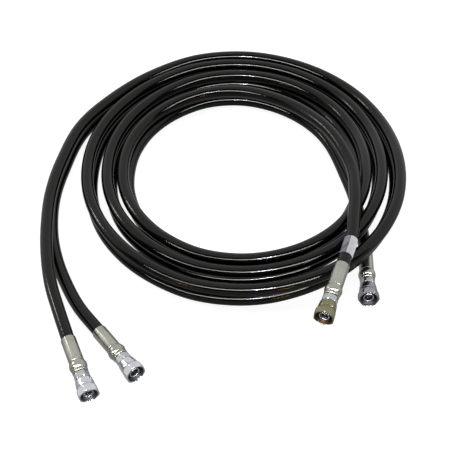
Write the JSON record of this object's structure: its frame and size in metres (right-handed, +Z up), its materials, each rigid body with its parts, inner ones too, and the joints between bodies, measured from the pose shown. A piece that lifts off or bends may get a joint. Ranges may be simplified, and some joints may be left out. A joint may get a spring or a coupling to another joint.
{
  "type": "hydraulic hose assembly",
  "caption": "Black hydraulic hoses wound together in a flat open coil, each end with a crimped steel ferrule, a fixed hexagon and a swivel nut",
  "frame": {"origin": "middle of the underside of the whole coil and its fittings, on the surface that it lies on", "axes": "X to the right and Y away from someone who faces the fittings, Z up"},
  "size_m": [0.378, 0.4916, 0.0572],
  "materials": {
    "cover": "smooth satin black thermoplastic",
    "braid": "woven fibre",
    "liner": "smooth",
    "ferrule": "satin zinc plate",
    "stem": "satin zinc plate",
    "nut": "bright zinc plate",
    "nut_yellow": "yellow passivated zinc plate",
    "nut_dull": "dull zinc plate",
    "wire": "drawn",
    "label": "silver-white, blank",
    "label_film": "clear gloss film"
  },
  "bodies": {
    "hoses": {"upper_hose_cover": "cover", "upper_hose_braid": "braid", "upper_hose_liner": "liner", "lower_hose_cover": "cover", "lower_hose_braid": "braid", "lower_hose_liner": "liner", "upper_left_ferrule": "ferrule", "upper_left_stem": "stem", "upper_left_retaining_wire": "wire", "upper_right_ferrule": "ferrule", "upper_right_stem": "stem", "upper_right_retaining_wire": "wire", "lower_left_ferrule": "ferrule", "lower_left_stem": "stem", "lower_left_retaining_wire": "wire", "lower_right_ferrule": "ferrule", "lower_right_stem": "stem", "lower_right_retaining_wire": "wire", "upper_label_sleeve": "label", "upper_label_film": "label_film"},
    "upper_left_nut": {"upper_left_nut": "nut"},
    "upper_right_nut": {"upper_right_nut": "nut_yellow"},
    "lower_left_nut": {"lower_left_nut": "nut"},
    "lower_right_nut": {"lower_right_nut": "nut_dull"}
  },
  "joints": [
    {"name": "upper_left_nut_swivel", "type": "hinge", "parent": "hoses", "child": "upper_left_nut", "pos_m": [-0.12681, -0.23344, 0.0121], "axis": [0.364, -0.9281, -0.0789], "continuous": true},
    {"name": "upper_right_nut_swivel", "type": "hinge", "parent": "hoses", "child": "upper_right_nut", "pos_m": [0.09364, -0.17063, 0.04648], "axis": [-0.3212, -0.9455, -0.053], "continuous": true},
    {"name": "lower_left_nut_swivel", "type": "hinge", "parent": "hoses", "child": "lower_left_nut", "pos_m": [-0.08742, -0.21022, 0.01108], "axis": [0.576, -0.8154, 0.0576], "continuous": true},
    {"name": "lower_right_nut_swivel", "type": "hinge", "parent": "hoses", "child": "lower_right_nut", "pos_m": [0.13972, -0.11856, 0.01183], "axis": [-0.0303, -0.9968, 0.0742], "continuous": true}
  ]
}
